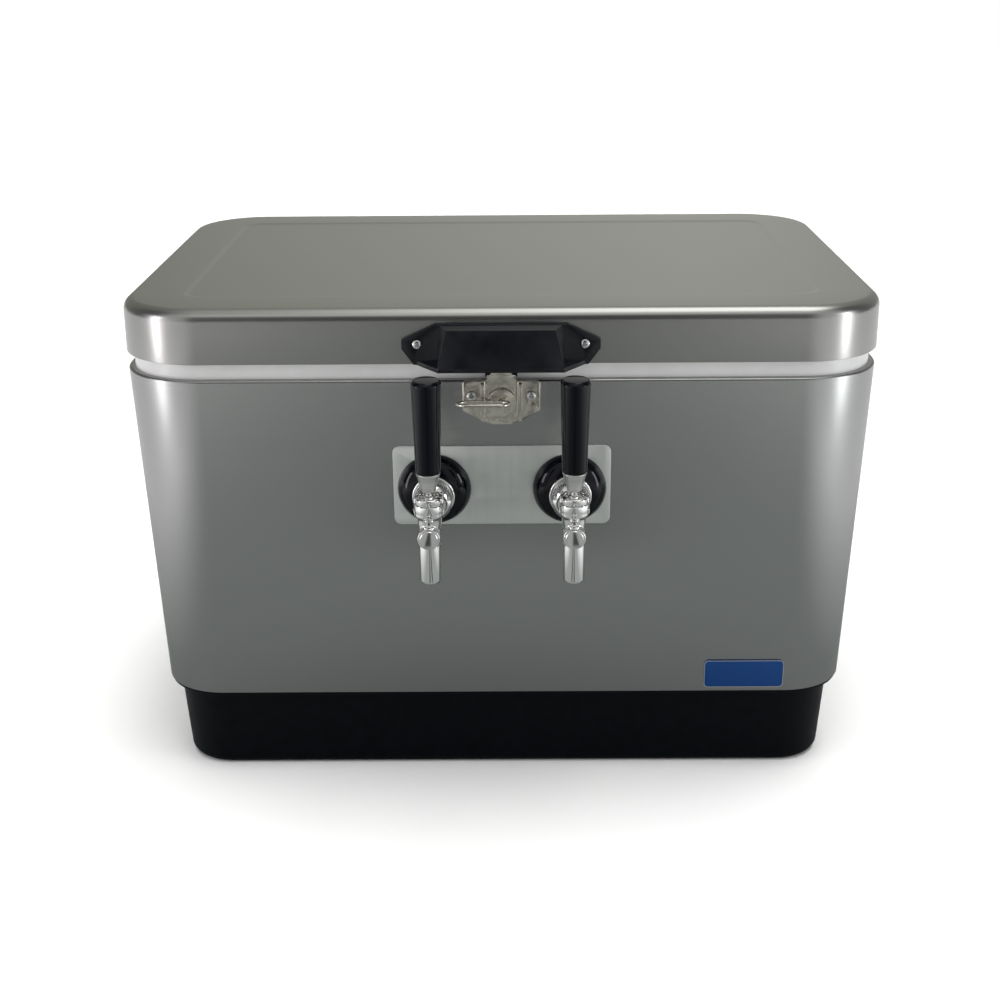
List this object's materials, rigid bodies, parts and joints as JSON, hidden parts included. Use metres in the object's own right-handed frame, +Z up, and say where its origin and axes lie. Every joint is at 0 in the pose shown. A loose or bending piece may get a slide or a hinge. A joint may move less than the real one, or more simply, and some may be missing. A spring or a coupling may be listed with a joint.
{
  "type": "jockey box beer cooler",
  "caption": "Insulated ice chest with a steel belt, beer taps on a backing plate, chilling coils inside, a latched hinged lid, swing handles on its ends and a drain.",
  "frame": {"origin": "centre of the base tray's flat underside, midway between the corner centres", "axes": "+X along the width, to the right seen from the taps; +Y towards the hinges; +Z up"},
  "size_m": [0.6664, 0.5744, 0.422],
  "materials": {
    "brushed_steel": "brushed, satin",
    "chrome": "polished",
    "satin_steel": "satin",
    "nickel": "nickel plated, slightly worn",
    "stainless": "drawn, bright",
    "black_plastic": "satin, moulded",
    "gloss_black": "glossy",
    "white_plastic": "smooth",
    "foam": "closed-cell foam",
    "rubber": "matte",
    "red_rubber": "matte",
    "backing_plate": "satin",
    "blue_enamel": "glossy enamel",
    "brass": "machined"
  },
  "bodies": {
    "chest": {"base_tray": "black_plastic", "steel_belt": "brushed_steel", "inner_liner": "white_plastic", "body_foam": "foam", "latch_plate": "nickel", "latch_screws": "stainless", "hinge_body_leaves": "stainless", "hinge_pins": "stainless", "hinge_body_screws": "stainless", "left_handle_bracket": "stainless", "right_handle_bracket": "stainless", "handle_screws": "stainless", "drain_spout": "white_plastic", "drain_nut": "white_plastic", "drain_gasket": "rubber", "tap_plate": "backing_plate", "nameplate": "blue_enamel", "left_shank": "stainless", "right_shank": "stainless", "left_flange": "gloss_black", "right_flange": "gloss_black", "shank_nuts": "stainless", "coupling_nuts": "chrome", "left_faucet_body": "chrome", "right_faucet_body": "chrome", "left_spout": "chrome", "right_spout": "chrome", "front_caps": "chrome", "bonnet_nuts": "chrome", "left_coil": "stainless", "right_coil": "stainless", "line_nuts": "stainless", "inlet_fittings": "stainless", "inlet_nuts": "stainless"},
    "lid": {"lid_pan": "brushed_steel", "lid_liner": "white_plastic", "lid_foam": "foam", "lid_pull": "black_plastic", "lid_pull_screws": "stainless", "hinge_lid_leaves": "stainless", "hinge_lid_screws": "stainless"},
    "latch_rotor": {"latch_rotor": "nickel"},
    "latch_ring": {"latch_ring": "nickel"},
    "latch_hasp": {"latch_hasp": "nickel"},
    "left_lever": {"left_lever": "chrome", "left_ferrule": "satin_steel", "left_tap_handle": "gloss_black"},
    "right_lever": {"right_lever": "chrome", "right_ferrule": "satin_steel", "right_tap_handle": "gloss_black"},
    "left_valve": {"left_valve": "brass"},
    "right_valve": {"right_valve": "brass"},
    "left_bail": {"left_bail": "stainless", "left_bail_grip": "black_plastic"},
    "right_bail": {"right_bail": "stainless", "right_bail_grip": "black_plastic"},
    "drain_seal": {"drain_cap_seal": "red_rubber"},
    "drain_cap": {"drain_cap": "black_plastic"}
  },
  "joints": [
    {"name": "lid_hinge", "type": "hinge", "parent": "chest", "child": "lid", "pos_m": [0, 0.2329, 0.371], "axis": [-1, 0, 0], "range_deg": [0, 100]},
    {"name": "latch_turn", "type": "hinge", "parent": "chest", "child": "latch_rotor", "pos_m": [0, -0.2262, 0.347], "axis": [0, -0.9989, -0.0471], "range_deg": [0, 180]},
    {"name": "latch_ring_fold", "type": "hinge", "parent": "latch_rotor", "child": "latch_ring", "pos_m": [0, -0.23716, 0.34798], "axis": [1, 0, 0], "range_deg": [0, 90]},
    {"name": "latch_hasp_slide", "type": "slide", "parent": "chest", "child": "latch_hasp", "axis": [0, 0.5345, -0.8452], "range_m": [0, 0.00506]},
    {"name": "left_tap_lever", "type": "hinge", "parent": "chest", "child": "left_lever", "pos_m": [-0.056, -0.31555, 0.28864], "axis": [1, 0, 0], "range_deg": [0, 28]},
    {"name": "left_valve_slide", "type": "slide", "parent": "chest", "child": "left_valve", "axis": [0, 0.9989, 0.0471], "range_m": [0, 0.01016]},
    {"name": "left_bail_swing", "type": "hinge", "parent": "chest", "child": "left_bail", "pos_m": [-0.32365, 0, 0.30343], "axis": [0, 1, 0], "range_deg": [0, 95]},
    {"name": "right_tap_lever", "type": "hinge", "parent": "chest", "child": "right_lever", "pos_m": [0.056, -0.31555, 0.28864], "axis": [1, 0, 0], "range_deg": [0, 28]},
    {"name": "right_valve_slide", "type": "slide", "parent": "chest", "child": "right_valve", "axis": [0, 0.9989, 0.0471], "range_m": [0, 0.01016]},
    {"name": "right_bail_swing", "type": "hinge", "parent": "chest", "child": "right_bail", "pos_m": [0.32365, 0, 0.30343], "axis": [0, -1, 0], "range_deg": [0, 95]},
    {"name": "drain_cap_lift", "type": "slide", "parent": "chest", "child": "drain_seal", "axis": [1, 0, 0], "range_m": [0, 0.01767]},
    {"name": "drain_cap_turn", "type": "hinge", "parent": "drain_seal", "child": "drain_cap", "pos_m": [0.32, 0.11, 0.06], "axis": [1, 0, 0], "range_deg": [0, 2880]}
  ],
  "couplings": [
    {"joint": "latch_hasp_slide", "follows": "latch_turn", "m_per_rad": 0.0016109},
    {"joint": "left_valve_slide", "follows": "left_tap_lever", "m_per_rad": 0.020792},
    {"joint": "right_valve_slide", "follows": "right_tap_lever", "m_per_rad": 0.020792},
    {"joint": "drain_cap_lift", "follows": "drain_cap_turn", "m_per_rad": 0.00035157}
  ]
}
